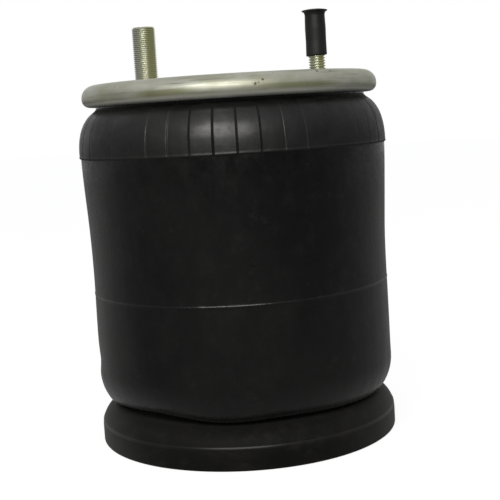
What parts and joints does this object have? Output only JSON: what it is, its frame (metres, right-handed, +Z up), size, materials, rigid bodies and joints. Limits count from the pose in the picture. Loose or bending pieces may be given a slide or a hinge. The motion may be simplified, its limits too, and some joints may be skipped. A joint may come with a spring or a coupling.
{
  "type": "air suspension spring",
  "caption": "Rolling-lobe air spring: ribbed rubber sleeve crimped in a steel bead plate with a tapped air inlet stud and a mounting stud, on a moulded piston with threaded inserts.",
  "frame": {"origin": "centre of the piston's foot, on the surface the spring stands on", "axes": "+Z up along the spring's axis; +X from the air inlet stud towards the mounting stud"},
  "size_m": [0.2406, 0.2406, 0.3276],
  "materials": {
    "zinc_plate": "zinc plated pressed steel",
    "zinc_stud": "yellowish zinc plated thread",
    "cap_vinyl": "soft black vinyl",
    "sleeve_rubber": "satin black moulded rubber",
    "cord_ply": "rubberised nylon cord",
    "liner_rubber": "smooth black rubber",
    "bead_steel": "drawn wire",
    "piston_plastic": "glass filled black nylon",
    "closure_steel": "grey coated steel",
    "bumper_rubber": "dense black rubber",
    "fastener_steel": "zinc plated steel",
    "insert_steel": "yellow zinc plated steel"
  },
  "bodies": {
    "lower": {"piston": "piston_plastic", "piston_skirt": "piston_plastic", "piston_hub": "piston_plastic", "piston_ring": "piston_plastic", "piston_ribs": "piston_plastic", "base_inserts": "insert_steel", "piston_bolt": "fastener_steel", "piston_washer": "fastener_steel", "end_closure": "closure_steel", "lower_bead_wire": "bead_steel", "bumper": "bumper_rubber", "bumper_washer": "fastener_steel", "bumper_nut": "fastener_steel", "sleeve_cover": "sleeve_rubber", "outer_ply": "cord_ply", "inner_ply": "cord_ply", "inner_liner": "liner_rubber"},
    "upper": {"bead_plate": "zinc_plate", "upper_bead_wire": "bead_steel", "inlet_stud": "zinc_stud", "mounting_stud": "zinc_stud"},
    "cap": {"stud_cap": "cap_vinyl"}
  },
  "joints": [
    {"name": "ride_travel", "type": "slide", "parent": "lower", "child": "upper", "axis": [0, 0, 1], "range_m": [-0.07, 0.13], "stiffness_N_per_m": 20000, "springref_m": 0.00075, "deforming": ["sleeve_cover", "outer_ply", "inner_ply", "inner_liner"]},
    {"name": "cap_pull", "type": "slide", "parent": "upper", "child": "cap", "axis": [0, 0, 1], "range_m": [0, 0.04]}
  ]
}
